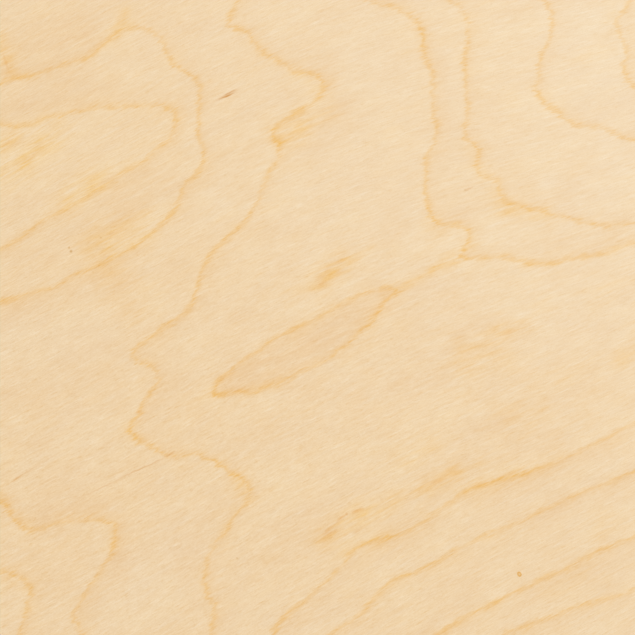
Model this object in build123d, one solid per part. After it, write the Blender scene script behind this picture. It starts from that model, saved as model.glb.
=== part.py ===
"""Birch-faced plywood sheet, lying flat.

The sheet is one piece of stock: cross-banded veneers glued under heat, sanded on both faces
and sawn square on all four edges. Nothing is cut into it and nothing is fixed to it.

The origin is at the centre of the underside. +X runs along the face grain, which is the long
way of the sheet, +Y runs across the grain, and +Z runs up through the thickness. All sizes
are in millimetres.
"""

from build123d import *

import os

# The size that the sheet is sold in: a quarter of a full 2440 x 1220 sheet.
SHEET_LENGTH = 1220.0
SHEET_WIDTH = 610.0
SHEET_THICKNESS = 18.0

# The saw leaves the four upright corners almost sharp, and handling rounds them a little.
CORNER_RADIUS = 1.0

# The wide-belt sander rolls over the edge of each face, all the way round.
ARRIS_RADIUS = 0.5

PARTS_FOLDER = "parts"


def sawn_blank():
    """The sheet as it leaves the saw: its outline, pulled up through the thickness."""
    with BuildPart() as blank:
        with BuildSketch(Plane.XY):
            RectangleRounded(SHEET_LENGTH, SHEET_WIDTH, CORNER_RADIUS)
        extrude(amount=SHEET_THICKNESS)
    return blank.part


def sanded_sheet(blank):
    """The blank with the arrises of its top face and its underside eased by the sander."""
    top = blank.faces().sort_by(Axis.Z)[-1]
    underside = blank.faces().sort_by(Axis.Z)[0]
    arrises = top.outer_wire().edges() + underside.outer_wire().edges()
    return blank.fillet(ARRIS_RADIUS, arrises)


def main():
    sheet = sanded_sheet(sawn_blank())
    os.makedirs(PARTS_FOLDER, exist_ok=True)
    export_step(sheet, os.path.join(PARTS_FOLDER, "plywood_sheet.step"))


main()
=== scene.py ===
"""A sheet of birch plywood, lying flat and seen from straight above its sanded face.

The sheet's skin is built by Geometry Nodes, veneer by veneer, from the size of the frame. The
growth lines that show in the face are drawn routes. A smooth field is laid through
them, which gains one at each growth line, and the face's finish reads its lines from that field.

Lengths in the figure and in the finishes are millimetres on the sheet. Places in the routes are
pixels of the photograph, x to the right and y down.
"""

import math

import bmesh
import bpy
import numpy as np
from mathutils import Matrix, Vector


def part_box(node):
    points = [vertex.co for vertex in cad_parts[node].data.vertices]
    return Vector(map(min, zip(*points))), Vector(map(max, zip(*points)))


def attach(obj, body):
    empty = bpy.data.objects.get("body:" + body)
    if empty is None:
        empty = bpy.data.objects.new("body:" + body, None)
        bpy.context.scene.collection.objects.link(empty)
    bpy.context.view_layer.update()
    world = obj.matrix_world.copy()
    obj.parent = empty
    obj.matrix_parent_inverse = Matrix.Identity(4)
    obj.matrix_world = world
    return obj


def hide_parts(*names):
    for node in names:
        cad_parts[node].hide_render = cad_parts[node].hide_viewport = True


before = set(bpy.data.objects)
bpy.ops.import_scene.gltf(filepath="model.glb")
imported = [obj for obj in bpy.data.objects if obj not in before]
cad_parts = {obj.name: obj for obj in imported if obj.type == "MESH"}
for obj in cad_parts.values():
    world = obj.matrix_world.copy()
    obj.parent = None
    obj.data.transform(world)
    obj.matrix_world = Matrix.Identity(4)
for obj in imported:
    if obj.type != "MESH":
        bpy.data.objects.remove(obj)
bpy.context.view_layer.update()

NODE = "plywood_sheet"
LOW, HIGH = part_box(NODE)
LENGTH = HIGH.x - LOW.x
WIDTH = HIGH.y - LOW.y
THICKNESS = HIGH.z - LOW.z

# Millimetres in a metre.
METRE = 1000.0

# How the photograph lies on the sheet.
PHOTO_SIZE = 635
PHOTO_CENTRE = PHOTO_SIZE / 2
MM_PER_PIXEL = 0.39
GRAIN_RISE = math.radians(28.0)

# The veneers, their glue lines and the eased edges, in metres.
VENEERS = 13
FACE_VENEER = 0.0011
INNER_VENEER = (THICKNESS - 2 * FACE_VENEER) / (VENEERS - 2)
GLUE_WIDTH = 0.00012
GLUE_DEPTH = 0.00006
ARRIS = 0.0005
ARRIS_STEPS = 3
CORNER = 0.001

# The face starts as square cells. Points nearer than the merging distance become one.
CELL = 0.0122
MERGE = 0.00001

# Each round of splitting the cells reaches this far outside the photographed patch, in millimetres.
SPLIT_MARGINS = (math.inf, 10.0, 5.0)

# The places of the finishes on the mesh. What is flatter than the limit is face or back.
FACE, BACK, END_EDGES, LONG_EDGES = range(4)
FLAT = 0.99

# The map for baking the finishes: its empty edge, its rows for the face, the back, both ends
# and each long edge, and how much of the ends' row each of them takes.
MAP_EDGE = 0.008
MAP_ROWS = ((0.468, 0.992), (0.184, 0.460), (0.008, 0.058), (0.066, 0.116), (0.124, 0.174))
END_SHARE = 0.494

# The growth lines. On each route the shaded side lies to the left of the way it runs.
INNER_LOOP = [
    (0, 124), (22, 127), (35, 124), (62, 115), (95, 109), (124, 107), (155, 106), (168, 109), (175, 114),
    (174, 122), (171, 133), (162, 144), (151, 153), (138, 164), (124, 172), (111, 181), (91, 193), (78, 203),
    (51, 215), (38, 223), (22, 237), (11, 243), (0, 248),
]
OUTER_LOOP = [
    (0, 85), (10, 80), (20, 77), (31, 77), (51, 70), (67, 64), (89, 59), (98, 51), (107, 42), (115, 36),
    (124, 31), (138, 29), (150, 31), (160, 40), (166, 46), (163, 55), (173, 63), (182, 72), (193, 77),
    (198, 85), (199, 100), (198, 133), (202, 142), (203, 155), (201, 167), (191, 178), (182, 189),
    (178, 202), (171, 212), (155, 229), (142, 240), (127, 250), (107, 260), (89, 269), (73, 275), (51, 287),
    (29, 293), (9, 299), (0, 301),
]
LONG_LINE = [
    (239, -4), (238, 3), (231, 9), (229, 18), (224, 27), (236, 29), (247, 35), (253, 43), (261, 52),
    (278, 62), (289, 69), (298, 73), (311, 75), (322, 80), (320, 91), (311, 102), (300, 109), (291, 114),
    (282, 122), (272, 129), (269, 138), (280, 144), (278, 153), (274, 164), (267, 173), (262, 189),
    (255, 202), (249, 215), (235, 230), (222, 242), (211, 253), (202, 267), (200, 278), (195, 291),
    (191, 305), (180, 316), (162, 327), (153, 336), (142, 343), (133, 351), (131, 357), (138, 363),
    (149, 365), (156, 373), (157, 381), (151, 391), (144, 399), (140, 411), (136, 419), (129, 429),
    (129, 436), (142, 442), (151, 446), (158, 452), (167, 455), (182, 456), (200, 455), (209, 459),
    (220, 467), (233, 475), (244, 482), (249, 490), (247, 499), (238, 508), (233, 518), (224, 531),
    (216, 542), (209, 551), (206, 560), (204, 571), (203, 582), (207, 595), (213, 606), (214, 617),
    (210, 631), (209, 640),
]
BAY_LINE = [
    (358, -4), (368, 1), (380, 5), (391, 6), (399, 10), (408, 16), (418, 27), (423, 34), (422, 45),
    (423, 53), (426, 64), (432, 73), (431, 93), (433, 104), (431, 116), (436, 125), (433, 144), (427, 153),
    (425, 167), (425, 178), (423, 198), (427, 204), (432, 213), (428, 221), (446, 225), (457, 227),
    (467, 231), (471, 237), (466, 244), (460, 251), (457, 256), (466, 259), (479, 257), (495, 258),
    (508, 258), (518, 260), (526, 263), (537, 264), (551, 263), (564, 261), (579, 259), (595, 257),
    (611, 253), (624, 248), (640, 244),
]
LENS = [
    (406, 285), (391, 288), (375, 290), (364, 294), (350, 300), (335, 306), (318, 317), (304, 324),
    (289, 331), (273, 338), (262, 346), (251, 354), (240, 362), (231, 371), (222, 379), (213, 387),
    (208, 394), (222, 394), (236, 392), (249, 393), (262, 389), (276, 384), (291, 378), (304, 371),
    (324, 361), (344, 348), (353, 340), (362, 331), (375, 314), (384, 304), (397, 293), (406, 285),
]
RIGHT_LINE = [
    (440, -4), (445, 0), (453, 4), (461, 11), (465, 20), (469, 30), (467, 41), (464, 60), (464, 71),
    (466, 85), (466, 96), (468, 107), (466, 120), (465, 133), (466, 141), (474, 143), (479, 147), (477, 156),
    (476, 166), (482, 176), (491, 178), (499, 181), (498, 191), (503, 201), (513, 206), (526, 209),
    (542, 211), (548, 214), (562, 219), (577, 221), (591, 224), (601, 227), (617, 224), (640, 222),
]
FAR_LINE = [
    (538, -4), (542, 0), (548, 6), (551, 16), (551, 29), (548, 40), (544, 48), (537, 59), (539, 67),
    (538, 78), (536, 91), (540, 100), (551, 108), (562, 116), (570, 123), (582, 126), (599, 128), (611, 131),
    (622, 138), (640, 142),
]
RIM_LINE = [
    (630, -4), (624, 9), (615, 22), (618, 33), (623, 42), (627, 50), (624, 60), (622, 69), (627, 78),
    (634, 87), (642, 96),
]
FIRST_SLOPE = [
    (640, 419), (624, 427), (613, 433), (599, 441), (586, 447), (568, 455), (551, 463), (537, 468),
    (524, 473), (497, 480), (484, 484), (468, 489), (455, 497), (442, 507), (431, 516), (419, 524),
    (408, 531), (395, 535), (379, 539), (366, 542), (355, 548), (346, 557), (335, 571), (326, 579),
    (315, 590), (302, 601), (289, 611), (276, 626), (268, 640),
]
SECOND_SLOPE = [
    (640, 469), (624, 474), (611, 481), (597, 486), (582, 492), (566, 498), (553, 505), (539, 511),
    (524, 518), (497, 529), (466, 543), (453, 551), (442, 558), (428, 566), (411, 573), (397, 577),
    (386, 585), (377, 595), (368, 604), (357, 615), (344, 624), (328, 636),
]
THIRD_SLOPE = [
    (640, 533), (622, 541), (608, 547), (597, 551), (584, 558), (568, 566), (553, 573), (539, 579),
    (524, 587), (508, 594), (495, 601), (479, 609), (466, 616), (455, 623), (444, 629), (430, 638),
]
FOURTH_SLOPE = [
    (640, 588), (622, 594), (606, 598), (591, 602), (573, 608), (557, 613), (539, 621), (524, 626),
    (511, 631), (496, 638),
]
CORNER_LINE = [
    (-4, 497), (0, 502), (7, 511), (14, 519), (20, 529), (31, 531), (44, 528), (58, 525), (69, 522),
    (82, 520), (96, 521), (109, 523), (117, 530), (113, 537), (113, 546), (109, 559), (102, 568), (93, 579),
    (87, 591), (82, 599), (74, 608), (70, 616), (77, 624), (81, 633), (83, 640),
]
CORNER_LOOP = [
    (-4, 574), (0, 573), (9, 572), (17, 579), (27, 585), (29, 595), (27, 608), (22, 622), (17, 636),
]

# Each growth line with its number. The number grows towards the shaded side.
GROWTH_LINES = [
    (1, INNER_LOOP), (2, OUTER_LOOP), (3, LONG_LINE), (4, BAY_LINE), (4, LENS),
    (5, RIGHT_LINE), (6, FAR_LINE), (7, RIM_LINE), (4, FIRST_SLOPE), (5, SECOND_SLOPE),
    (6, THIRD_SLOPE), (7, FOURTH_SLOPE), (2, CORNER_LINE), (1, CORNER_LOOP),
]

# Places between the lines, each with the level of the field there, which keep wide rings quiet.
QUIET_PLACES = [
    (300, 30, 3.35), (340, 50, 3.35), (380, 120, 3.55), (350, 180, 3.45), (310, 200, 3.3), (330, 260, 3.45),
    (245, 80, 2.62), (250, 120, 2.68), (265, 95, 2.66), (290, 95, 2.7), (230, 170, 2.6), (225, 60, 2.6),
    (450, 170, 4.45), (450, 205, 4.5), (480, 220, 4.6), (520, 235, 4.5), (600, 238, 4.5), (440, 240, 3.8),
    (425, 255, 3.72), (440, 285, 3.75), (480, 290, 3.62), (560, 300, 3.55), (620, 290, 3.6), (560, 350, 3.5),
    (620, 370, 3.5), (500, 400, 3.45), (560, 410, 3.55), (440, 350, 3.55), (430, 420, 3.45), (380, 440, 3.4),
    (320, 440, 3.4), (380, 370, 3.6), (330, 500, 3.5), (290, 540, 3.5), (270, 430, 3.3), (200, 400, 3.25),
    (200, 350, 3.35), (240, 320, 3.5), (250, 580, 3.5), (180, 430, 3.2), (300, 290, 3.6), (100, 340, 2.6),
    (60, 370, 2.5), (110, 390, 2.62), (60, 430, 2.45), (100, 470, 2.45), (160, 500, 2.45), (200, 510, 2.6),
    (170, 570, 2.55), (150, 620, 2.5), (130, 300, 2.4), (30, 400, 2.45), (185, 250, 2.5), (60, 20, 2.4),
    (20, 40, 2.35), (10, 5, 2.4), (180, 20, 2.4), (90, 150, 0.6), (40, 165, 0.55), (300, 340, 4.22),
    (60, 570, 1.6), (60, 610, 1.5), (8, 600, 0.8), (600, 60, 6.5), (520, 120, 5.5), (590, 180, 5.5),
]

# Amber mineral stains and smears: from, to, half width in pixels, strength.
STAINS = [
    ((402, 287), (432, 271), 3, 0.9), ((432, 271), (458, 259), 4, 1.0), ((446, 262), (470, 246), 9, 0.55),
    ((318, 284), (330, 276), 9, 0.7), ((328, 274), (345, 260), 10, 0.65), ((320, 280), (346, 262), 14, 0.4),
    ((319, 541), (338, 528), 10, 0.5), ((340, 521), (360, 511), 9, 0.4), ((334, 536), (368, 516), 15, 0.42),
    ((345, 258), (372, 247), 4, 0.35), ((288, 293), (312, 285), 7, 0.3), ((384, 298), (408, 284), 4, 0.7),
    ((362, 544), (384, 539), 8, 0.35), ((384, 541), (425, 518), 8, 0.4), ((366, 516), (392, 503), 9, 0.5),
    ((392, 500), (424, 488), 9, 0.45), ((426, 487), (456, 472), 9, 0.85), ((456, 472), (480, 463), 7, 0.5),
    ((466, 489), (516, 474), 10, 0.52), ((516, 474), (560, 460), 7, 0.35), ((395, 460), (430, 446), 13, 0.4),
    ((282, 138), (298, 131), 12, 1.15), ((302, 124), (330, 114), 9, 0.55), ((268, 131), (280, 141), 6, 0.35),
    ((312, 78), (331, 86), 9, 0.32), ((316, 96), (328, 104), 10, 0.3), ((112, 36), (122, 24), 7, 0.45),
    ((0, 38), (10, 68), 7, 0.7), ((0, 50), (6, 60), 12, 0.4), ((12, 76), (36, 76), 4, 0.4),
    ((0, 148), (16, 137), 6, 0.85), ((0, 176), (28, 162), 9, 0.55), ((28, 160), (54, 140), 11, 0.52),
    ((8, 152), (60, 128), 16, 0.26), ((66, 202), (92, 186), 10, 0.45), ((92, 186), (132, 168), 10, 0.35),
    ((60, 206), (90, 178), 14, 0.26), ((84, 248), (108, 236), 12, 0.45), ((104, 238), (142, 218), 13, 0.72),
    ((82, 262), (120, 246), 11, 0.2), ((110, 268), (130, 312), 17, 0.42), ((140, 300), (168, 340), 14, 0.12),
    ((464, 345), (500, 338), 10, 0.5), ((500, 336), (526, 326), 8, 0.5), ((466, 366), (500, 356), 13, 0.55),
    ((505, 322), (545, 312), 12, 0.2), ((620, 360), (637, 348), 9, 0.8), ((592, 300), (634, 280), 8, 0.3),
    ((500, 424), (536, 408), 14, 0.35), ((520, 435), (534, 428), 4, 0.4), ((560, 380), (590, 368), 12, 0.2),
    ((498, 208), (548, 214), 7, 0.5), ((492, 188), (506, 206), 9, 0.5), ((548, 596), (580, 575), 14, 0.3),
    ((596, 540), (615, 520), 10, 0.35), ((520, 264), (556, 264), 4, 0.6), ((426, 222), (440, 232), 7, 0.5),
    ((236, 478), (249, 498), 7, 0.85), ((203, 398), (222, 393), 5, 0.4), ((366, 330), (378, 312), 5, 0.5),
    ((414, 22), (428, 60), 6, 0.5), ((616, 14), (630, 66), 12, 0.2), ((576, 62), (600, 50), 10, 0.25),
    ((2, 498), (24, 524), 5, 0.6), ((0, 576), (26, 588), 5, 0.45), ((112, 528), (114, 552), 5, 0.4),
    ((126, 430), (140, 441), 5, 0.5), ((131, 352), (150, 366), 5, 0.4), ((238, 500), (224, 532), 5, 0.3),
    ((204, 566), (206, 600), 5, 0.35), ((534, 88), (546, 106), 5, 0.3), ((290, 330), (340, 306), 5, 0.4),
    ((240, 394), (290, 380), 5, 0.4), ((340, 360), (372, 334), 8, 0.3), ((270, 420), (300, 404), 10, 0.12),
    ((240, 32), (262, 52), 6, 0.35), ((262, 52), (300, 74), 6, 0.35), ((502, 208), (530, 216), 10, 0.28),
    ((346, 552), (362, 546), 5, 0.4), ((466, 258), (512, 257), 3, 0.3), ((468, 276), (484, 268), 5, 0.2),
    ((118, 28), (125, 13), 6, 0.75), ((470, 143), (480, 168), 6, 0.35), ((150, 118), (170, 113), 9, 0.2),
    ((300, 74), (318, 80), 6, 0.15),
]

# Paler ground: from, to, half width in pixels, strength.
PALES = [
    ((10, 345), (165, 322), 36, 0.24), ((330, 150), (400, 200), 34, 0.08), ((560, 20), (620, 110), 40, 0.16),
    ((360, 30), (380, 90), 30, 0.10), ((130, 590), (170, 560), 34, 0.14), ((445, 60), (452, 140), 12, 0.2),
    ((560, 320), (620, 340), 26, 0.10), ((230, 620), (260, 600), 20, 0.15), ((20, 120), (110, 150), 16, 0.1),
    ((620, 6), (625, 54), 5, 0.4), ((308, 106), (313, 102), 4, 0.45),
]

# Ground with a yellow glow: from, to, half width in pixels, strength.
HONEYS = [
    ((10, 150), (150, 125), 30, 0.5), ((70, 196), (110, 176), 13, 0.9), ((10, 165), (50, 145), 18, 0.7),
    ((115, 245), (145, 232), 12, 0.7), ((112, 32), (130, 22), 8, 0.7), ((150, 285), (160, 300), 16, 0.5),
    ((348, 522), (372, 512), 9, 0.5), ((390, 470), (440, 450), 16, 0.4), ((340, 548), (352, 540), 6, 0.5),
    ((400, 20), (414, 70), 10, 0.3), ((600, 60), (630, 74), 14, 0.30), ((300, 80), (322, 92), 10, 0.5),
    ((614, 16), (630, 60), 11, 0.35),
]

# Ground that is a little darker and pinker: from, to, half width in pixels, strength.
BLUSHES = [
    ((232, 384), (384, 302), 15, 1.1), ((440, 478), (560, 438), 12, 0.3), ((110, 200), (160, 178), 16, 0.4),
    ((14, 46), (104, 30), 20, 0.5), ((20, 108), (120, 84), 10, 0.35), ((330, 70), (340, 100), 14, 0.5),
    ((300, 165), (345, 130), 14, 0.3), ((440, 80), (448, 150), 12, 0.25), ((530, 245), (625, 235), 10, 0.35),
    ((30, 512), (105, 505), 12, 0.4), ((122, 530), (122, 575), 10, 0.45), ((480, 500), (620, 442), 10, 0.3),
    ((500, 540), (630, 482), 10, 0.3), ((0, 320), (110, 300), 40, 0.15), ((100, 280), (170, 330), 30, 0.15),
    ((150, 400), (150, 430), 12, 0.3), ((380, 370), (480, 330), 26, 0.3), ((300, 400), (440, 380), 20, 0.25),
    ((450, 440), (600, 400), 20, 0.25), ((0, 400), (90, 390), 30, 0.25), ((270, 560), (330, 520), 20, 0.25),
    ((215, 500), (190, 560), 16, 0.25), ((620, 320), (560, 380), 26, 0.2), ((60, 60), (180, 150), 30, 0.15),
]

# Waves added up, each set with its step from the veneer's seed, their count, how far the sum
# spreads, and how far a wave reaches along and across the sheet.
BROAD_WAVES = {"step": 0, "count": 60, "spread": 3.0, "reach": (190.0, 85.0)}
SHORT_WAVES = {"step": 1, "count": 60, "spread": 0.45, "reach": (48.0, 24.0)}
FINE_WAVES = {"step": 2, "count": 60, "spread": 0.07, "reach": (10.0, 5.0)}
DUSK_WAVES = {"step": 3, "count": 30, "spread": 0.25, "reach": (160.0, 90.0)}
SMEAR_WAVES = {"step": 4, "count": 60, "spread": 0.6, "reach": (34.0, 11.0)}
FLUSH_WAVES = {"step": 5, "count": 60, "spread": 0.5, "reach": (60.0, 20.0)}
WANDER_WAVES = {"step": 7, "count": 30, "spread": 3.0, "reach": (120.0, 90.0)}
FACE_SEED = 11
BACK_SEED = 40

# The rings run in broad waves about this level. Shorter waves set in outside the drawn reach.
RING_MIDDLE = 4.0
DRAWN_REACH = 120.0
DRAWN_FADE = 60.0
PATCH_FADE = 40.0
SLOPE_STEP = 0.5

# The field's anchors: their spacing on a line, how far beside it the others stand and how much
# their level differs, and how clear of every line those stay, on points this far apart.
ROUTE_STEP = 11.0
SIDE_STEP = 9.0
SIDE_RISE = 0.22
CLEAR_GAP = 0.9 * SIDE_STEP
CLEAR_STEP = 3.0

# How far an anchor reaches along and across, how loosely the field holds to it, and how many
# places are worked out at a time.
PULL_REACH = (48.0, 38.0)
HOLD_EASE = 0.0001
CHUNK = 4000

# The fibres swing aside about one place, and lean over about another.
SWING = 22.0
SWING_PLACE = (118.0, 50.0)
SWING_REACH = (90.0, 70.0)
LEAN = 0.045
LEAN_PLACE = (-60.0, 0.0)
LEAN_REACH = 170.0

# How much amber the honey ground adds, and how much blush it takes away.
HONEY_AMBER = 0.26
HONEY_CALM = 0.9

# Where no smears are drawn, the waves show above these levels.
SMEAR_LEVEL = 0.84
FLUSH_LEVEL = 0.35

# Painted light: the way across the face in which it is painted paler, as if lit more brightly from that
# side, and where and how fast it does.
PAINTED_LIGHT_WAY = (0.90, 0.43)
PAINTED_LIGHT_START = 20.0
PAINTED_LIGHT_REACH = 90.0

# Colours of bare birch, as scene-linear values. A tint is what full strength multiplies by.
BIRCH = (0.906, 0.689, 0.437)
AMBER = (0.990, 0.876, 0.655)
BLUSH = (0.973, 0.925, 0.870)
SHADOW = (0.9645, 0.9390, 0.9000)
HAZE = (0.9945, 0.9950, 1.0035)
BARK = (0.80, 0.58, 0.36)
CRACK = (0.88, 0.73, 0.57)
RESIN = (0.93, 0.76, 0.54)
SPECK = (0.79, 0.65, 0.44)
KNOT = (0.89, 0.67, 0.33)
END_GRAIN = (0.78, 0.63, 0.49)
GLUE = (0.40, 0.26, 0.17)

# Small marks, each from one pixel to another, with its half width in millimetres and strength.
BARK_SPOTS = [
    ((212.5, 102.0), (241.5, 88.0), 1.0, 0.42), ((213.5, 101.6), (236, 92.2), 0.75, 0.48),
    ((219.5, 97.6), (239.5, 88.0), 0.42, 0.75), ((217.5, 99.8), (239.5, 91.4), 0.42, 0.78),
    ((463, 191.4), (475, 185.8), 0.55, 0.5), ((77, 234.5), (80, 233.5), 0.55, 0.35),
    ((80.5, 397.7), (84.5, 396.3), 0.55, 0.3), ((189.5, 491), (193.5, 490), 0.5, 0.3),
    ((346.6, 513.8), (346.6, 513.8), 0.7, 0.6),
]
CRACK_SPOTS = [
    ((10, 483), (24, 473.5), 0.46, 1.1), ((18, 477.5), (40, 463.5), 0.36, 0.6),
    ((32, 469), (62, 451.5), 0.32, 0.35), ((76, 500), (130, 474), 0.36, 0.6),
    ((112, 481.5), (166, 457.5), 0.38, 0.9), ((146, 466.5), (172, 454), 0.34, 0.5),
    ((162.5, 457.5), (178, 450.5), 0.46, 0.85),
]
RESIN_SPOTS = [
    ((334, 524), (348, 513), 0.7, 0.9), ((320, 536), (336, 524), 0.7, 0.6),
    ((348, 514), (366, 507.5), 0.85, 0.85), ((318, 541), (342, 527), 1.2, 0.35),
    ((350, 534), (364, 528), 0.9, 0.3), ((342, 537), (350, 533), 0.9, 0.3),
    ((316, 287), (328, 280), 1.1, 0.5), ((314, 281), (326, 274), 1.0, 0.25),
    ((322, 272), (333, 265), 1.2, 0.3), ((332, 265), (346, 258), 1.0, 0.35),
    ((335, 275), (346, 268), 1.0, 0.3), ((428, 486), (449, 476), 1.0, 0.4),
    ((468, 488.5), (502, 476.5), 1.0, 0.2), ((500, 476.5), (522, 470.5), 0.8, 0.2),
    ((500, 335.5), (519, 328), 1.0, 0.3), ((92, 189), (121, 172), 1.0, 0.25),
    ((102, 239), (128, 226), 1.0, 0.3), ((9, 73), (3, 53), 0.9, 0.5), ((20, 164.5), (47, 146), 1.0, 0.3),
    ((-2, 149), (14, 138.5), 0.9, 0.35), ((135, 413.5), (142, 410), 0.7, 0.6),
]
SPECK_SPOTS = [
    ((69.5, 251.7), (72.4, 250.9), 0.80, 1.3), ((68.3, 247.8), (69.7, 247.4), 0.64, 1.0),
    ((100.3, 237.9), (101.7, 237.5), 0.6, 0.65), ((236.4, 558), (237.6, 558), 0.62, 0.6),
    ((465, 190.2), (465.4, 190), 0.65, 0.4),
]
MARKS = ((BARK, BARK_SPOTS), (CRACK, CRACK_SPOTS), (RESIN, RESIN_SPOTS), (SPECK, SPECK_SPOTS))

# How far the marks waver across the fibres, and the length, width, detail and seed of that.
MARK_WAVER = ((0.24, (2.6, 2.6), 1.0, 61.0),)

# The pin knot is a dark rim round a paler heart: levels of its spot where each one sets in.
PIN_KNOT = ((517.6, 570.9), (521.2, 577.5), 1.15)
KNOT_RIM = (0.15, 0.4)
KNOT_HEART = (0.5, 0.95)
HEART_SHARE = 0.5

# The growth lines' ragged edges: rows of strength, streak length and width, detail and seed.
FEATHER = ((1.4, (6.5, 0.50), 1.0, 3.0), (1.9, (11.0, 1.7), 1.0, 8.0))
DRIFT = ((1.1, (7.0, 2.4), 1.0, 5.0), (0.7, (3.0, 0.9), 1.0, 6.0))
PATCHES = ((0.8, (26.0, 12.0), 1.0, 11.0), (0.8, (6.0, 0.6), 1.0, 12.0))
PATCH_FIBRE = 0.5

# A growth line's section: the half width of its core, how much wider that is on the shaded side,
# the reach of its amber and its blush there, and how strong each one is.
LEAST_SLOPE = 0.00005
SHADE_STEP = 0.7
CORE_WIDTH = 0.78
CORE_WIDENING = 0.6
AMBER_REACH = 2.8
BLUSH_REACH = 5.0
CORE_AMBER = 0.56
TAIL_AMBER = 0.26
TAIL_BLUSH = 0.36

# The face's layers of noise: the length and width of their streaks, detail, seed and any lean.
FACE_LAYERS = {
    "pores": ((0.8, 0.36), 1.0, 25.0),
    "fibre": ((3.0, 0.46), 1.0, 21.0, 0.05),
    "cross": ((5.6, 0.60), 1.0, 27.0, -0.06),
    "strand": ((12.0, 0.85), 1.0, 33.0, 0.02),
    "dash": ((3.0, 0.40), 1.0, 26.0),
    "vessel": ((9.0, 0.42), 1.0, 31.0),
    "sliver": ((8.0, 0.70), 1.0, 28.0, 0.02),
    "thread": ((11.0, 1.5), 1.0, 22.0),
    "mottle": ((9.0, 3.2), 2.0, 29.0),
    "dapple": ((12.0, 5.0), 2.0, 30.0),
    "cloud": ((22.0, 6.0), 2.0, 23.0),
    "bloom": ((34.0, 16.0), 2.0, 32.0),
    "drift": ((70.0, 26.0), 2.0, 24.0),
}

# The layers of which only the crests show, with the levels where they set in and are full.
FACE_CRESTS = {"dash": (0.12, 0.7), "vessel": (0.30, 0.8), "sliver": (0.22, 0.8)}

# What the face's tints, roughness and relief are made of. An even share is the same all over. The share of
# waves and painted light paints the face darker one way across and paler the other.
FACE_MIX = {
    "stain": {"even": 0.60, "thread": 0.42, "strand": 0.36, "mottle": 0.36},
    "amber": {
        "waves_and_painted_light": 0.10, "cloud": 0.12, "drift": 0.14, "thread": 0.16, "mottle": 0.14, "bloom": 0.07,
        "strand": 0.17, "dash": 0.20, "vessel": 0.20, "sliver": -0.20,
    },
    "flush": {"even": 0.80, "thread": 0.64},
    "blush": {"cloud": 0.10, "bloom": 0.25},
    "depth": {"even": 1.00, "waves_and_painted_light": 0.22},
    "fine shadow": {
        "pores": 1.00, "fibre": 0.80, "cross": 0.72, "strand": 0.45, "dash": 0.90, "vessel": 0.90,
        "sliver": -0.80,
    },
    "broad shadow": {"dapple": 0.30, "waves_and_painted_light": 0.38},
    "haze": {"dapple": 1.60, "cloud": 1.50, "bloom": 2.10},
    "roughness": {"even": 0.58, "fibre": 0.06, "cloud": 0.04},
    "relief": {"fibre": 0.50, "pores": 0.30, "thread": 0.20},
}
FACE_RELIEF = 0.00002

# The same for the sawn edges, where each veneer has a share of its own.
EDGE_LAYERS = {
    "waver": ((40.0, 3.0), 2.0, 1.0),
    "run": ((18.0, 0.22), 2.0, 2.0),
    "pits": ((0.30, 0.42), 2.0, 3.0),
    "patch": ((9.0, 1.6), 2.0, 4.0),
    "saw": ((1.1, 30.0), 1.0, 5.0),
}
EDGE_MIX = {
    "amber": {"even": 0.35, "patch": 0.30, "own": 0.35},
    "long grain": {"even": 0.30, "run": 0.50},
    "end grain": {"even": 0.75, "pits": 0.35, "patch": 0.20},
    "shadow": {"even": 0.30, "saw": 0.30},
    "glue": {"even": 0.75, "patch": 0.25},
    "roughness": {"even": 0.66, "cut": 0.14, "pits": 0.05},
    "long relief": {"run": 0.60},
    "saw relief": {"saw": 0.50},
}
EDGE_RELIEF = 0.00004

# How far a glue line wavers, and its half width, as shares of a veneer.
GLUE_WAVER = 0.07
GLUE_SHARE = 0.055

# What all finishes share: how far a seed moves the noise, and the gloss of the surface.
SEED_MOVE = (37.0, 11.0)
SURFACE_IOR = 1.45
SURFACE_SPECULAR = 0.3

# The studio, in metres.
FLOOR_REACH = 60.0
FLOOR_GREY = (0.84, 0.84, 0.83)
FLOOR_TINT = (0.97, 0.97, 0.97)
FLOOR_SPECKLE = ((0.02, 0.02), 3.0, 1.0)
FLOOR_ROUGHNESS = 0.8
FLOOR_ROUGHNESS_SPREAD = 0.02
FLOOR_RELIEF = 0.0002
LAMPS = {
    "key": {"place": (2.1, 0.93, 2.6), "size": 1.5, "power": 37.5, "colour": (1.0, 0.995, 0.985)},
    "fill": {"place": (-1.8, -1.2, 1.7), "size": 1.8, "power": 7.5, "colour": (0.985, 0.99, 1.0)},
}
SKY_STRENGTH = 0.69
FOCAL_LENGTH = 50.0
NEAR_CLIP = 0.01


def to_sheet(pixels):
    """Places in the photograph as millimetres on the face, along and across the sheet."""
    p = np.asarray(pixels, float)
    right = (p[:, 0] - PHOTO_CENTRE) * MM_PER_PIXEL
    up = (PHOTO_CENTRE - p[:, 1]) * MM_PER_PIXEL
    along = right * math.cos(GRAIN_RISE) + up * math.sin(GRAIN_RISE)
    across = up * math.cos(GRAIN_RISE) - right * math.sin(GRAIN_RISE)
    return np.stack([along, across], 1)


def spaced(route, step):
    """Points along a route, about one step apart."""
    corners = np.asarray(route, float)
    points = [corners[0]]
    for a, b in zip(corners[:-1], corners[1:]):
        count = max(1, round(float(np.linalg.norm(b - a)) / step))
        points += [a + (b - a) * i / count for i in range(1, count + 1)]
    return np.array(points)


def beside(points, distance):
    """The points moved sideways, to the left of the way that they run."""
    run = np.gradient(points, axis=0)
    run /= np.linalg.norm(run, axis=1)[:, None]
    return points + distance * np.stack([run[:, 1], -run[:, 0]], 1)


def waves(p, seed, step, count, spread, reach):
    """A smooth random field: many long waves added up."""
    rng = np.random.default_rng(seed + step)
    pitch = rng.normal(size=(count, 2)) / np.array(reach)
    phase = rng.uniform(0, 2 * math.pi, count)
    return spread * math.sqrt(2 / count) * np.cos(p @ pitch.T + phase).sum(1)


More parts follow.
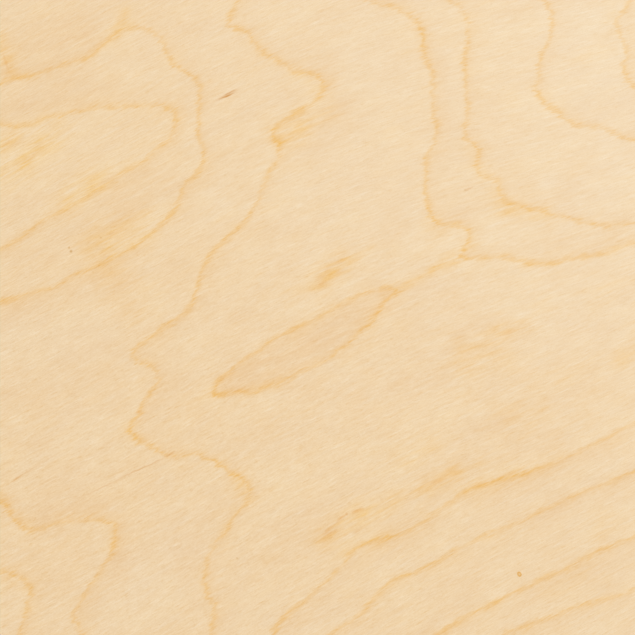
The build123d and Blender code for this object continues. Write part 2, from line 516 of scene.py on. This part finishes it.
def soft_step(x):
    """A smooth rise from 0 at 0 to 1 at 1, and level outside them."""
    x = np.clip(x, 0, 1)
    return x * x * (3 - 2 * x)


def patch_gap(x, y):
    """How far a place on the sheet lies outside the photographed patch, in millimetres."""
    right = x * math.cos(GRAIN_RISE) - y * math.sin(GRAIN_RISE)
    up = x * math.sin(GRAIN_RISE) + y * math.cos(GRAIN_RISE)
    return np.maximum(abs(right), abs(up)) - PHOTO_CENTRE * MM_PER_PIXEL


def beyond(p):
    """0 in the photographed patch, and 1 well outside it."""
    return soft_step(patch_gap(p[:, 0], p[:, 1]) / PATCH_FADE)


def natural_rings(p, seed):
    """The level of the rings where no line is drawn."""
    away = soft_step((np.hypot(p[:, 0], p[:, 1]) - DRAWN_REACH) / DRAWN_FADE)
    rings = RING_MIDDLE + waves(p, seed, **BROAD_WAVES)
    rings = rings + away * waves(p, seed, **SHORT_WAVES)
    return rings + beyond(p) * waves(p, seed, **FINE_WAVES)


def with_slopes(p, seed):
    """The natural level of the rings at each place, and its slopes along and across."""
    columns = [natural_rings(p, seed)]
    for move in SLOPE_STEP * np.eye(2):
        rise = natural_rings(p + move, seed) - natural_rings(p - move, seed)
        columns.append(rise / (2 * SLOPE_STEP))
    return np.stack(columns, 1)


def pull(p, anchors):
    """How strongly each anchor acts at each place, and how fast that changes both ways."""
    reach = np.array(PULL_REACH)
    gap = p[:, None, :] - anchors[None, :, :]
    r = np.sqrt(5 * ((gap / reach) ** 2).sum(2))
    fall = np.exp(-r)
    slope = -5 / 3 * (1 + r) * fall
    along, across = np.moveaxis(gap / reach ** 2, 2, 0)
    return (1 + r + r * r / 3) * fall, slope * along, slope * across


def side_anchors(level, points, lines):
    """Places on both sides of a growth line that are clear of every line, with their levels."""
    for side in (1, -1):
        for place in beside(points, side * SIDE_STEP):
            if np.hypot(*(lines - place).T).min() > CLEAR_GAP:
                yield place, level + side * SIDE_RISE


def ring_anchors():
    """Places with a known level: on each growth line, beside it, and in the quiet ground."""
    lines = np.concatenate([spaced(route, CLEAR_STEP) for _, route in GROWTH_LINES])
    anchors = []
    for level, route in GROWTH_LINES:
        points = spaced(route, ROUTE_STEP)
        anchors += [(place, level) for place in points]
        anchors += side_anchors(level, points, lines)
    anchors += [((x, y), level) for x, y, level in QUIET_PLACES]
    places, levels = zip(*anchors)
    return to_sheet(places), np.array(levels, float)


def drawn_rings(p, seed):
    """The level of the field through the growth lines, and its slopes along and across."""
    anchors, levels = ring_anchors()
    strength = pull(anchors, anchors)[0] + HOLD_EASE * np.eye(len(anchors))
    weights = np.linalg.solve(strength, levels - natural_rings(anchors, seed))
    rings = with_slopes(p, seed)
    for start in range(0, len(p), CHUNK):
        rows = slice(start, start + CHUNK)
        for column, share in enumerate(pull(p[rows], anchors)):
            rings[rows, column] += share @ weights
    return rings


def fibre_lines(p, seed):
    """Coordinates that follow the fibres: along them, and across them, in millimetres."""
    along, across = p.T
    swing = -SWING * np.tanh((along - SWING_PLACE[0]) / SWING_REACH[0])
    swing = swing * np.exp(-((across - SWING_PLACE[1]) / SWING_REACH[1]) ** 2 / 2)
    gap = np.hypot(along - LEAN_PLACE[0], across - LEAN_PLACE[1])
    lean = LEAN * along * np.exp(-(gap / LEAN_REACH) ** 2)
    wander = waves(p, seed, **WANDER_WAVES)
    return np.stack([along, across - swing - lean - wander], 1)


def fibre_place(pixel):
    """A pixel of the photograph in the coordinates that follow the fibres."""
    return fibre_lines(to_sheet([pixel]), FACE_SEED)[0]


def strokes(p, rows):
    """Soft-edged strokes, each from one pixel to another, added up at each place."""
    amount = np.zeros(len(p))
    for start, end, half_width, strength in rows:
        a, b = to_sheet([start, end])
        run = b - a
        share = np.clip((p - a) @ run / (run @ run), 0, 1)
        gap = np.hypot(*(p - a - share[:, None] * run).T)
        amount += strength * np.exp(-(gap / (half_width * MM_PER_PIXEL)) ** 2)
    return amount


def tones(p, top):
    """Stain, flush, and waves with painted light on the face, at each place: drawn in the photographed
    patch, and waves beyond it.
    """
    tone = np.zeros((len(p), 3))
    honey = strokes(p[top], HONEYS)
    tone[top, 0] = strokes(p[top], STAINS) - strokes(p[top], PALES) + HONEY_AMBER * honey
    tone[top, 1] = strokes(p[top], BLUSHES) - HONEY_CALM * honey
    open_ground = np.where(top, beyond(p), 1.0)
    tone[:, 0] += open_ground * np.maximum(waves(p, FACE_SEED, **SMEAR_WAVES) - SMEAR_LEVEL, 0)
    tone[:, 1] += open_ground * np.maximum(waves(p, FACE_SEED, **FLUSH_WAVES) - FLUSH_LEVEL, 0)
    tone[:, 2] = waves(p, FACE_SEED, **DUSK_WAVES)
    # Painted light: the face is painted paler one way across and darker the other, as if lit unevenly.
    tone[top, 2] -= np.tanh((p[top] @ PAINTED_LIGHT_WAY - PAINTED_LIGHT_START) / PAINTED_LIGHT_REACH)
    return tone


class Wire:
    """What a socket carries. Between numbers, an operator adds a Math node."""

    def __init__(self, graph, socket):
        self.graph = graph
        self.socket = socket

    def __add__(self, other):
        return calculate("ADD", self, other)

    __radd__ = __add__

    def __sub__(self, other):
        return calculate("SUBTRACT", self, other)

    def __rsub__(self, other):
        return calculate("SUBTRACT", other, self)

    def __mul__(self, other):
        return calculate("MULTIPLY", self, other)

    __rmul__ = __mul__

    def __truediv__(self, other):
        return calculate("DIVIDE", self, other)

    def __rtruediv__(self, other):
        return calculate("DIVIDE", other, self)

    def __pow__(self, other):
        return calculate("POWER", self, other)

    def __rpow__(self, other):
        return calculate("POWER", other, self)

    def __neg__(self):
        return calculate("MULTIPLY", self, -1.0)

    def __abs__(self):
        return calculate("ABSOLUTE", self)


class Graph:
    """A node tree under construction, for a finish or for a shape."""

    def __init__(self, tree):
        self.tree = tree

    def add(self, kind, settings=None, values=None):
        """Adds a node: its settings first, then the values and links of its sockets."""
        made = self.tree.nodes.new(kind)
        for name, value in (settings or {}).items():
            setattr(made, name, value)
        self.feed(made, values or {})
        return made

    def node(self, kind, settings=None, values=None, output=0):
        """Adds a node, and gives the wire from one of its outputs."""
        return Wire(self, self.add(kind, settings, values).outputs[output])

    def feed(self, made, values):
        """Sets or links inputs of a node."""
        for name, value in values.items():
            if isinstance(value, Wire):
                self.tree.links.new(value.socket, made.inputs[name])
            else:
                made.inputs[name].default_value = value


def calculate(operation, *values):
    """A Math node on wires and plain numbers."""
    graph = next(value.graph for value in values if isinstance(value, Wire))
    return graph.node("ShaderNodeMath", {"operation": operation}, dict(enumerate(values)))


def exp(x):
    """e to the power of x."""
    return calculate("EXPONENT", x)


def nearest(x):
    """The nearest whole number."""
    return calculate("ROUND", x)


def square(x):
    """x times itself."""
    return x * x


def above(x, limit):
    """1 where x is over the limit, and 0 elsewhere."""
    return calculate("GREATER_THAN", x, limit)


def fade(x, low, high):
    """A soft step from 0 where x is low to 1 where it is high."""
    values = {"Value": x, "From Min": low, "From Max": high}
    return x.graph.node("ShaderNodeMapRange", {"interpolation_type": "SMOOTHSTEP"}, values)


def opaque(colour):
    """The colour with full alpha."""
    return (*colour, 1.0)


def tinted(colour, amount, tint):
    """The colour times the tint, as far as the amount says."""
    settings = {"data_type": "RGBA", "blend_type": "MULTIPLY", "clamp_factor": False}
    # The mixed colours have sockets of their own, which are known by number.
    return amount.graph.node("ShaderNodeMix", settings, {0: amount, 6: colour, 7: opaque(tint)}, 2)


def parts_of(vector):
    """The three numbers of a vector wire."""
    made = vector.graph.add("ShaderNodeSeparateXYZ", None, {"Vector": vector})
    return [Wire(vector.graph, socket) for socket in made.outputs]


def in_frame(place, centre, lean, size):
    """The place as seen from a frame that is moved, turned and stretched."""
    values = {
        "Vector": place, "Location": (*centre, 0.0),
        "Rotation": (0.0, 0.0, lean), "Scale": (*size, 1.0),
    }
    return place.graph.node("ShaderNodeMapping", {"vector_type": "TEXTURE"}, values)


def streaks(grain, pitch, detail, seed, lean=0.0):
    """Noise drawn out along the fibres, from -1 to 1. The pitch is its length and its width."""
    place = in_frame(grain, [seed * move for move in SEED_MOVE], lean, pitch)
    values = {"Vector": place, "Scale": 1.0, "Detail": detail, "Roughness": 0.5}
    noise = grain.graph.node("ShaderNodeTexNoise", {"noise_dimensions": "2D"}, values)
    return 2.0 * noise - 1.0


def weighed(grain, rows):
    """Streaks added up, from rows of strength, pitch, detail and seed."""
    return sum(strength * streaks(grain, *row) for strength, *row in rows)


def noise_layers(grain, rows, seed):
    """Named layers of streaks, from rows of pitch, detail, seed and any lean."""
    return {
        name: streaks(grain, pitch, detail, seed + own_seed, *lean)
        for name, (pitch, detail, own_seed, *lean) in rows.items()
    }


def mixtures(layers, mix):
    """Named sums of the layers, each layer with its share."""
    known = {"even": 1.0, **layers}
    return {
        name: sum(share * known[layer] for layer, share in shares.items())
        for name, shares in mix.items()
    }


def new_finish(name):
    """A material with an empty tree, and the graph that fills it."""
    material = bpy.data.materials.new(name)
    material.use_nodes = True
    material.node_tree.nodes.clear()
    return material, Graph(material.node_tree)


def close_finish(graph, colour, roughness, height, relief):
    """The Principled surface at the end of a finish, with its relief in metres."""
    bump = graph.node("ShaderNodeBump", None, {"Height": height, "Distance": relief, "Strength": 1.0})
    surface = {
        "Base Color": colour, "Roughness": roughness, "Normal": bump,
        "IOR": SURFACE_IOR, "Specular IOR Level": SURFACE_SPECULAR,
    }
    wood = graph.node("ShaderNodeBsdfPrincipled", None, surface)
    graph.add("ShaderNodeOutputMaterial", None, {"Surface": wood})


def growth_lines(ring, grain, fibre):
    """Amber at each growth line, and blush on the shaded side of it."""
    level, rise_along, rise_across = parts_of(ring)
    level = level + rise_along * weighed(grain, FEATHER) + rise_across * weighed(grain, DRIFT)
    slope = (square(rise_along) + square(rise_across) + LEAST_SLOPE) ** 0.5
    gap = (level - nearest(level)) / slope
    shaded = fade(gap, -SHADE_STEP, SHADE_STEP)
    core = exp(-square(gap / (CORE_WIDTH + CORE_WIDENING * shaded)))
    tail = shaded * exp(-abs(gap) / AMBER_REACH)
    patchy = 1.0 + weighed(grain, PATCHES) + PATCH_FIBRE * fibre
    amber = (CORE_AMBER * core + TAIL_AMBER * tail) * patchy
    blush = TAIL_BLUSH * shaded * exp(-abs(gap) / BLUSH_REACH)
    return amber, blush


def spot(grain, start, end, half_width):
    """A soft spot drawn out from one pixel to another: 1 in its middle, and 0 from its rim on."""
    a, b = fibre_place(start), fibre_place(end)
    along, across = b - a
    half_length = max(half_width, math.hypot(along, across) / 2)
    place = in_frame(grain, (a + b) / 2, math.atan2(across, along), (half_length, half_width))
    round_fade = {"gradient_type": "SPHERICAL"}
    return grain.graph.node("ShaderNodeTexGradient", round_fade, {"Vector": place}, "Fac")


def marks(colour, grain):
    """The small marks in the face: a bark fleck, cracks, resin streaks, specks and a pin knot."""
    waver = grain.graph.node("ShaderNodeCombineXYZ", None, {"Y": weighed(grain, MARK_WAVER)})
    unsteady = grain.graph.node("ShaderNodeVectorMath", {"operation": "ADD"}, {0: grain, 1: waver})
    for tint, spots in MARKS:
        amount = sum(strength * spot(unsteady, *reach) for *reach, strength in spots)
        colour = tinted(colour, amount, tint)
    knot = spot(grain, *PIN_KNOT)
    heart = fade(knot, *KNOT_HEART)
    return tinted(colour, fade(knot, *KNOT_RIM) * (1.0 - HEART_SHARE * heart), KNOT)


def face_finish(name, seed, marked):
    """Sanded birch face veneer."""
    material, graph = new_finish(name)
    ring, grain, tone = [
        graph.node("ShaderNodeAttribute", {"attribute_name": attribute}, None, "Vector")
        for attribute in ("ring", "grain", "tone")
    ]
    # The tone's third part is random waves and painted light, which tint the face darker and warmer one way
    # and paler the other.
    stain, flush, waves_and_painted_light = parts_of(tone)
    layers = noise_layers(grain, FACE_LAYERS, seed)
    for layer, levels in FACE_CRESTS.items():
        layers[layer] = fade(layers[layer], *levels)
    mix = mixtures({"waves_and_painted_light": waves_and_painted_light, **layers}, FACE_MIX)

    amber, blush = growth_lines(ring, grain, layers["fibre"])
    colour = tinted(opaque(BIRCH), amber + stain * mix["stain"] + mix["amber"], AMBER)
    colour = tinted(colour, blush + flush * mix["flush"] + mix["blush"], BLUSH)
    colour = tinted(colour, mix["fine shadow"] * mix["depth"] + mix["broad shadow"], SHADOW)
    colour = tinted(colour, mix["haze"], HAZE)
    if marked:
        colour = marks(colour, grain)
    close_finish(graph, colour, mix["roughness"], mix["relief"], FACE_RELIEF)
    return material


def veneer_number(turn):
    """The number of the veneer at each height, from 0 at the underside."""
    number = calculate("MAXIMUM", calculate("FLOOR", turn), -1.0)
    return calculate("MINIMUM", number, VENEERS - 2.0) + 1.0


def glue_lines(turn):
    """1 at each glue line, and 0 between them and on the faces."""
    middle = (VENEERS - 2) / 2
    within = 1.0 - above(abs(turn - middle), middle + 0.5)
    return exp(-square((turn - nearest(turn)) / GLUE_SHARE)) * within


def edge_finish(name, reach_axis, end_grain_first, seed):
    """A sawn edge: veneers by turns in long grain and end grain, with glue between them."""
    material, graph = new_finish(name)
    place = parts_of(graph.node("ShaderNodeTexCoord", None, None, "Object"))
    depth = place[2] * METRE
    edge = graph.node("ShaderNodeCombineXYZ", None, {"X": place[reach_axis] * METRE, "Y": depth})
    layers = noise_layers(edge, EDGE_LAYERS, seed)
    turn = (depth - FACE_VENEER * METRE) / (INNER_VENEER * METRE) + GLUE_WAVER * layers["waver"]
    number = veneer_number(turn)
    own = graph.node("ShaderNodeTexWhiteNoise", {"noise_dimensions": "1D"}, {"W": number + seed})
    odd = calculate("MODULO", number, 2.0)
    cut = 1.0 - odd if end_grain_first else odd
    mix = mixtures({"own": 2.0 * own - 1.0, "cut": cut, **layers}, EDGE_MIX)
    glue = glue_lines(turn)

    colour = tinted(opaque(BIRCH), mix["amber"], AMBER)
    colour = tinted(colour, (1.0 - cut) * mix["long grain"], BLUSH)
    colour = tinted(colour, cut * mix["end grain"], END_GRAIN)
    colour = tinted(colour, mix["shadow"], SHADOW)
    colour = tinted(colour, glue * mix["glue"], GLUE)
    height = cut * layers["pits"] + (1.0 - cut) * mix["long relief"] + mix["saw relief"] - glue
    close_finish(graph, colour, mix["roughness"], height, EDGE_RELIEF)
    return material


def tree_with_inputs(name, inputs):
    """A new tree for a shape, with a wire and an identifier for each of its named inputs."""
    kinds = {float: "NodeSocketFloat", int: "NodeSocketInt", bpy.types.Material: "NodeSocketMaterial"}
    graph = Graph(bpy.data.node_groups.new(name, "GeometryNodeTree"))
    new_socket = graph.tree.interface.new_socket
    new_socket(name="Geometry", in_out="OUTPUT", socket_type="NodeSocketGeometry")
    identifiers = {
        label: new_socket(name=label, in_out="INPUT", socket_type=kinds[type(value)]).identifier
        for label, value in inputs.items()
    }
    group = graph.add("NodeGroupInput")
    return graph, {label: Wire(graph, group.outputs[label]) for label in inputs}, identifiers


def edge_rule(graph, given):
    """Which way is outwards at each point of the rim."""
    x, y, _ = parts_of(graph.node("GeometryNodeInputPosition"))
    near = 2.0 * given["Arris"]
    out_x = calculate("SIGN", x) * above(abs(x), given["Length"] * 0.5 - near)
    out_y = calculate("SIGN", y) * above(abs(y), given["Width"] * 0.5 - near)
    return graph.node("ShaderNodeCombineXYZ", None, {"X": out_x, "Y": out_y})


def ring_down(graph, skin, outwards, drop, out):
    """One more ring below the rim: down by the drop, and outwards by out."""
    # The rim is the edges with one face. Whole numbers are compared on sockets 2 and 3.
    equal = {"data_type": "INT", "operation": "EQUAL"}
    faces = graph.node("GeometryNodeInputMeshEdgeNeighbors")
    rim_edges = graph.node("FunctionNodeCompare", equal, {2: faces, 3: 1})
    down = graph.node("ShaderNodeCombineXYZ", None, {"Z": -drop})
    values = {"Mesh": skin, "Selection": rim_edges, "Offset": down, "Offset Scale": 1.0}
    made = graph.add("GeometryNodeExtrudeMesh", {"mode": "EDGES"}, values)
    skin, rim = Wire(graph, made.outputs["Mesh"]), Wire(graph, made.outputs["Top"])
    move = graph.node("ShaderNodeVectorMath", {"operation": "SCALE"}, {"Vector": outwards, "Scale": out})
    return graph.node("GeometryNodeSetPosition", None, {"Geometry": skin, "Selection": rim, "Offset": move})


def rings_down(graph, skin, outwards, steps):
    """More rings below the rim, one for each step of drop and out."""
    for drop, out in steps:
        skin = ring_down(graph, skin, outwards, drop, out)
    return skin


def repeated_rings(graph, skin, outwards, steps, count):
    """The same steps again and again, in a repeat zone."""
    start = graph.add("GeometryNodeRepeatInput")
    end = graph.add("GeometryNodeRepeatOutput")
    start.pair_with_output(end)
    graph.feed(start, {"Iterations": count, "Geometry": skin})
    inside = rings_down(graph, Wire(graph, start.outputs["Geometry"]), outwards, steps)
    graph.feed(end, {"Geometry": inside})
    return Wire(graph, end.outputs["Geometry"])


def round_over(arris, way):
    """Steps of drop and out round a quarter circle, outwards or, the other way, back in."""
    turn = [math.pi / 2 * i / ARRIS_STEPS for i in range(ARRIS_STEPS + 1)]
    steps = [(math.cos(a) - math.cos(b), math.sin(b) - math.sin(a)) for a, b in zip(turn, turn[1:])]
    return [(arris * drop, arris * (way * out)) for drop, out in steps[::way]]


def rim_down(graph, skin, given):
    """The rim below the face: the arris, the veneers with their glue grooves, and the arris back in."""
    arris, glue, deep = given["Arris"], given["Glue Width"], given["Glue Depth"]
    outwards = edge_rule(graph, given)
    inner_veneers = given["Veneers"] - 2.0
    half = glue * 0.5
    outer = given["Face Veneer"] - arris - half
    inner = (given["Thickness"] - 2.0 * given["Face Veneer"]) / inner_veneers - glue
    groove = [(half, -deep), (half, deep)]
    skin = rings_down(graph, skin, outwards, [*round_over(arris, 1), (outer, 0.0)])
    skin = repeated_rings(graph, skin, outwards, [*groove, (inner, 0.0)], inner_veneers)
    return rings_down(graph, skin, outwards, [*groove, (outer, 0.0), *round_over(arris, -1)])


def lay_skin(graph, given):
    """Lays up the sheet's skin: a face, its rim veneer by veneer, and the back."""
    inset = 2.0 * given["Arris"]
    size = {
        "Size X": given["Length"] - inset, "Size Y": given["Width"] - inset,
        "Vertices X": given["Columns"] + 1.0, "Vertices Y": given["Rows"] + 1.0,
    }
    flat = graph.node("GeometryNodeMeshGrid", None, size)
    lift = graph.node("ShaderNodeCombineXYZ", None, {"Z": given["Thickness"]})
    raised = graph.node("GeometryNodeSetPosition", None, {"Geometry": flat, "Offset": lift})
    skin = rim_down(graph, raised, given)
    back = graph.node("GeometryNodeFlipFaces", None, {"Mesh": flat})
    joined = graph.add("GeometryNodeJoinGeometry")
    for part in (skin, back):
        graph.feed(joined, {"Geometry": part})
    merging = {"Geometry": Wire(graph, joined.outputs["Geometry"]), "Distance": MERGE}
    whole = graph.node("GeometryNodeMergeByDistance", None, merging)
    whole = graph.node("GeometryNodeRealizeInstances", None, {"Geometry": whole})
    whole = graph.node("GeometryNodeSetMaterial", None, {"Geometry": whole, "Material": given["Finish"]})
    graph.add("NodeGroupOutput", None, {"Geometry": whole})


def laid_up(material):
    """The sheet's skin as a plain mesh, with its underside at height 0."""
    inputs = {
        "Length": LENGTH, "Width": WIDTH, "Thickness": THICKNESS, "Veneers": VENEERS,
        "Face Veneer": FACE_VENEER, "Glue Width": GLUE_WIDTH, "Glue Depth": GLUE_DEPTH, "Arris": ARRIS,
        "Columns": round(LENGTH / CELL), "Rows": round(WIDTH / CELL), "Finish": material,
    }
    graph, given, identifiers = tree_with_inputs("plywood_skin", inputs)
    lay_skin(graph, given)
    blank = bpy.data.objects.new("blank", bpy.data.meshes.new("blank"))
    bpy.context.scene.collection.objects.link(blank)
    modifier = blank.modifiers.new("veneers", "NODES")
    modifier.node_group = graph.tree
    for name, value in inputs.items():
        modifier[identifiers[name]] = value
    evaluated = blank.evaluated_get(bpy.context.evaluated_depsgraph_get())
    mesh = bpy.data.meshes.new_from_object(evaluated)
    bpy.data.objects.remove(blank)
    return mesh


def is_flat(face):
    """True on the face and the back, and not on the rim."""
    return abs(face.normal.z) > FLAT


def at_corner(place):
    """True at the four upright corners of the sheet."""
    return min(abs(place.x) - LENGTH / 2, abs(place.y) - WIDTH / 2) > -2 * ARRIS


def split_cells(shape, margin):
    """Splits the face's cells that lie in the photographed patch or within the margin of it."""
    near = set()
    for face in shape.faces:
        middle = face.calc_center_median()
        on_top = is_flat(face) and middle.z > THICKNESS - ARRIS / 4
        if on_top and patch_gap(middle.x * METRE, middle.y * METRE) < margin:
            near.add(face)
    edges = [
        edge for edge in shape.edges
        if all(is_flat(face) for face in edge.link_faces) and not near.isdisjoint(edge.link_faces)
    ]
    bmesh.ops.subdivide_edges(shape, edges=edges, cuts=1, use_grid_fill=True)


def refine(mesh):
    """Eases the upright corners, and splits the face's cells so that its lines stay smooth."""
    shape = bmesh.new()
    shape.from_mesh(mesh)
    upright = [edge for edge in shape.edges if all(at_corner(point.co) for point in edge.verts)]
    bmesh.ops.bevel(shape, geom=upright, offset=CORNER, segments=ARRIS_STEPS, profile=0.5, affect="EDGES")
    bmesh.ops.recalc_face_normals(shape, faces=shape.faces)
    for margin in SPLIT_MARGINS:
        split_cells(shape, margin)
    shape.to_mesh(mesh)
    shape.free()


def write_vectors(mesh, name, values):
    """Stores a vector at each point of a mesh."""
    layer = mesh.attributes.new(name, "FLOAT_VECTOR", "POINT")
    layer.data.foreach_set("vector", np.ascontiguousarray(values, dtype=np.float32).ravel())


def write_figure(mesh):
    """Stores the figure of the veneer at each point of the skin, for its finish to read."""
    places = np.empty(3 * len(mesh.vertices))
    mesh.vertices.foreach_get("co", places)
    places = places.reshape(-1, 3) * METRE
    p = places[:, :2]
    top = places[:, 2] > THICKNESS * METRE / 2
    ring = np.zeros_like(places)
    grain = np.zeros_like(places)
    for side, rings, seed in ((top, drawn_rings, FACE_SEED), (~top, with_slopes, BACK_SEED)):
        ring[side] = rings(p[side], seed)
        grain[side, :2] = fibre_lines(p[side], seed)
    write_vectors(mesh, "ring", ring)
    write_vectors(mesh, "grain", grain)
    write_vectors(mesh, "tone", tones(p, top))


def lay_finishes(mesh, finishes):
    """The face, the back, the two end edges and the two long edges each get their own finish."""
    mesh.materials.clear()
    for finish in finishes:
        mesh.materials.append(finish)
    for polygon in mesh.polygons:
        x, y, z = polygon.normal
        if is_flat(polygon):
            polygon.material_index = FACE if z > 0 else BACK
        else:
            polygon.material_index = END_EDGES if abs(x) > abs(y) else LONG_EDGES


def height_on_edge(place):
    """How far up an edge a point lies from its middle, measured over the arris."""
    rise = place.z - THICKNESS / 2
    if abs(rise) <= THICKNESS / 2 - ARRIS:
        return rise
    inset = min(LENGTH / 2 - abs(place.x), WIDTH / 2 - abs(place.y))
    return rise + math.copysign(inset, rise)


def map_place(polygon, place):
    """Where a point of a face lies on the map: how far along its row, which row, and how far up."""
    along = 0.5 + place.x / LENGTH
    across = 0.5 + place.y / WIDTH
    if polygon.material_index in (FACE, BACK):
        return along, MAP_ROWS[polygon.material_index], across
    up = 0.5 + height_on_edge(place) / (THICKNESS + 2 * ARRIS)
    if polygon.material_index == LONG_EDGES:
        return along, MAP_ROWS[LONG_EDGES + (polygon.normal.y > 0)], up
    return across * END_SHARE + (1.0 - END_SHARE) * (polygon.normal.x > 0), MAP_ROWS[END_EDGES], up


def write_map(mesh):
    """Lays the faces flat on the map for baking, with most of it for the top.

    The edges are drawn out across their veneers, so that each veneer gets a few pixels.
    """
    layer = mesh.uv_layers.new(name="OFBake")
    for polygon in mesh.polygons:
        for corner in polygon.loop_indices:
            place = mesh.vertices[mesh.loops[corner].vertex_index].co
            along, (low, high), up = map_place(polygon, place)
            layer.data[corner].uv = (MAP_EDGE + (1.0 - 2 * MAP_EDGE) * along, low + (high - low) * up)


def make_sheet():
    """The sheet, which stands for its node and rides on the part's one body."""
    face = face_finish("sanded_birch_face", seed=0.0, marked=True)
    back = face_finish("sanded_birch_back", seed=50.0, marked=False)
    ends = edge_finish("sawn_end_edges", reach_axis=1, end_grain_first=True, seed=3.0)
    sides = edge_finish("sawn_long_edges", reach_axis=0, end_grain_first=False, seed=9.0)
    mesh = laid_up(face)
    mesh.name = "finished_sheet"
    refine(mesh)
    write_figure(mesh)
    lay_finishes(mesh, (face, back, ends, sides))
    write_map(mesh)
    sheet = bpy.data.objects.new("finished_sheet", mesh)
    bpy.context.scene.collection.objects.link(sheet)
    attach(sheet, "root")
    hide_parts(NODE)


def make_floor():
    """A plain pale floor under the sheet."""
    material, graph = new_finish("pale_floor")
    speckle = streaks(graph.node("ShaderNodeTexCoord", None, None, "Object"), *FLOOR_SPECKLE)
    colour = tinted(opaque(FLOOR_GREY), 0.5 + 0.5 * speckle, FLOOR_TINT)
    roughness = FLOOR_ROUGHNESS + FLOOR_ROUGHNESS_SPREAD * speckle
    close_finish(graph, colour, roughness, speckle, FLOOR_RELIEF)
    mesh = bpy.data.meshes.new("floor")
    corners = [(x * FLOOR_REACH, y * FLOOR_REACH, 0) for x, y in ((-1, -1), (1, -1), (1, 1), (-1, 1))]
    mesh.from_pydata(corners, [], [(0, 1, 2, 3)])
    mesh.materials.append(material)
    floor = bpy.data.objects.new("floor", mesh)
    bpy.context.scene.collection.objects.link(floor)


def add_lamp(name, place, size, power, colour):
    """A round soft lamp that shines at the middle of the sheet."""
    light = bpy.data.lights.new(name, "AREA")
    light.shape = "DISK"
    light.size = size
    light.energy = power
    light.color = colour
    lamp = bpy.data.objects.new(name, light)
    lamp.location = place
    lamp.rotation_mode = "QUATERNION"
    lamp.rotation_quaternion = Vector(place).to_track_quat("Z", "Y")
    bpy.context.scene.collection.objects.link(lamp)


def light_scene():
    """An even white sky and two lamps."""
    world = bpy.data.worlds.new("studio")
    world.use_nodes = True
    sky = world.node_tree.nodes["Background"]
    sky.inputs["Color"].default_value = opaque((1.0, 1.0, 1.0))
    sky.inputs["Strength"].default_value = SKY_STRENGTH
    bpy.context.scene.world = world
    for name, lamp in LAMPS.items():
        add_lamp(name, **lamp)
    bpy.context.scene.view_settings.view_transform = "Standard"
    bpy.context.scene.view_settings.look = "None"


def aim_camera():
    """Straight down on the middle of the face, turned so that the grain rises to the right."""
    lens = bpy.data.cameras.new("camera")
    lens.lens = FOCAL_LENGTH
    lens.clip_start = NEAR_CLIP
    shown = PHOTO_SIZE * MM_PER_PIXEL / METRE
    camera = bpy.data.objects.new("camera", lens)
    camera.location = (0.0, 0.0, HIGH.z + shown * lens.lens / lens.sensor_width)
    camera.rotation_euler = (0.0, 0.0, -GRAIN_RISE)
    bpy.context.scene.collection.objects.link(camera)
    bpy.context.scene.camera = camera


make_sheet()
make_floor()
light_scene()
aim_camera()
